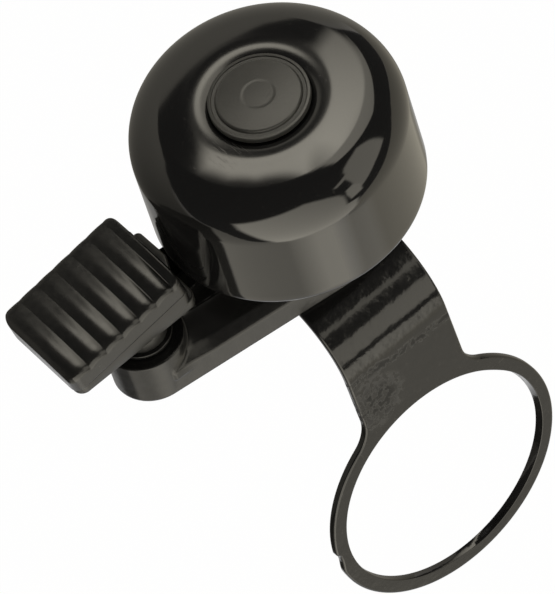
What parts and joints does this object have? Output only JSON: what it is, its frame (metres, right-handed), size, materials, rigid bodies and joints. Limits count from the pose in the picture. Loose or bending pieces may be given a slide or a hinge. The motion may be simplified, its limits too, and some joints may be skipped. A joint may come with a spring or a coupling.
{
  "type": "bicycle bell",
  "caption": "Small thumb-lever bicycle bell: domed gong on a teardrop base arm, ribbed swinging lever with an inner hammer, and a bent ring bracket that slips over a steerer tube.",
  "frame": {"origin": "centre of the ring's bore, midway through the strip's thickness", "axes": "+Z along the dome's axis towards its crown, -X towards the thumb lever, +Y from the ring towards the dome; the bore's axis leans 5 degrees from +Y towards -Z"},
  "size_m": [0.0508, 0.0325, 0.079],
  "materials": {
    "bracket_paint": "gloss black",
    "dome_paint": "high gloss black",
    "arm_plastic": "gloss black",
    "lever_plastic": "satin black",
    "pad_plastic": "satin black",
    "cap_plastic": "matt dark grey",
    "plated_steel": "zinc plated",
    "spring_steel": "bright drawn",
    "brass": "turned",
    "rubber": "matt black"
  },
  "bodies": {
    "base": {"headset_bracket": "bracket_paint", "base_arm": "arm_plastic", "dome_post": "plated_steel", "lock_washer": "plated_steel", "post_nut": "plated_steel", "lower_grommet": "rubber", "dome": "dome_paint", "upper_washer": "plated_steel", "dome_screw": "plated_steel", "dome_cap": "cap_plastic", "pivot_pin": "plated_steel", "retaining_clip": "spring_steel", "return_spring": "spring_steel", "stop_bumper": "rubber"},
    "lever": {"lever_arm": "lever_plastic", "thumb_pad": "pad_plastic", "pad_screws": "plated_steel", "pivot_bush": "brass", "pivot_washer": "arm_plastic", "striker_rivets": "plated_steel"},
    "striker": {"striker_arm": "spring_steel", "hammer": "brass"}
  },
  "joints": [
    {"name": "lever_pivot", "type": "hinge", "parent": "base", "child": "lever", "pos_m": [-0.0231, 0.0147, 0.0423], "axis": [0, 0, 1], "range_deg": [-18, 0], "stiffness_Nm_per_rad": 0.02, "springref_deg": 20.05, "deforming": ["return_spring"]},
    {"name": "striker_flex", "type": "hinge", "parent": "lever", "child": "striker", "pos_m": [-0.0173, 0.018, 0.042], "axis": [0, 0, 1], "range_deg": [-2, 0.6], "stiffness_Nm_per_rad": 0.02}
  ]
}
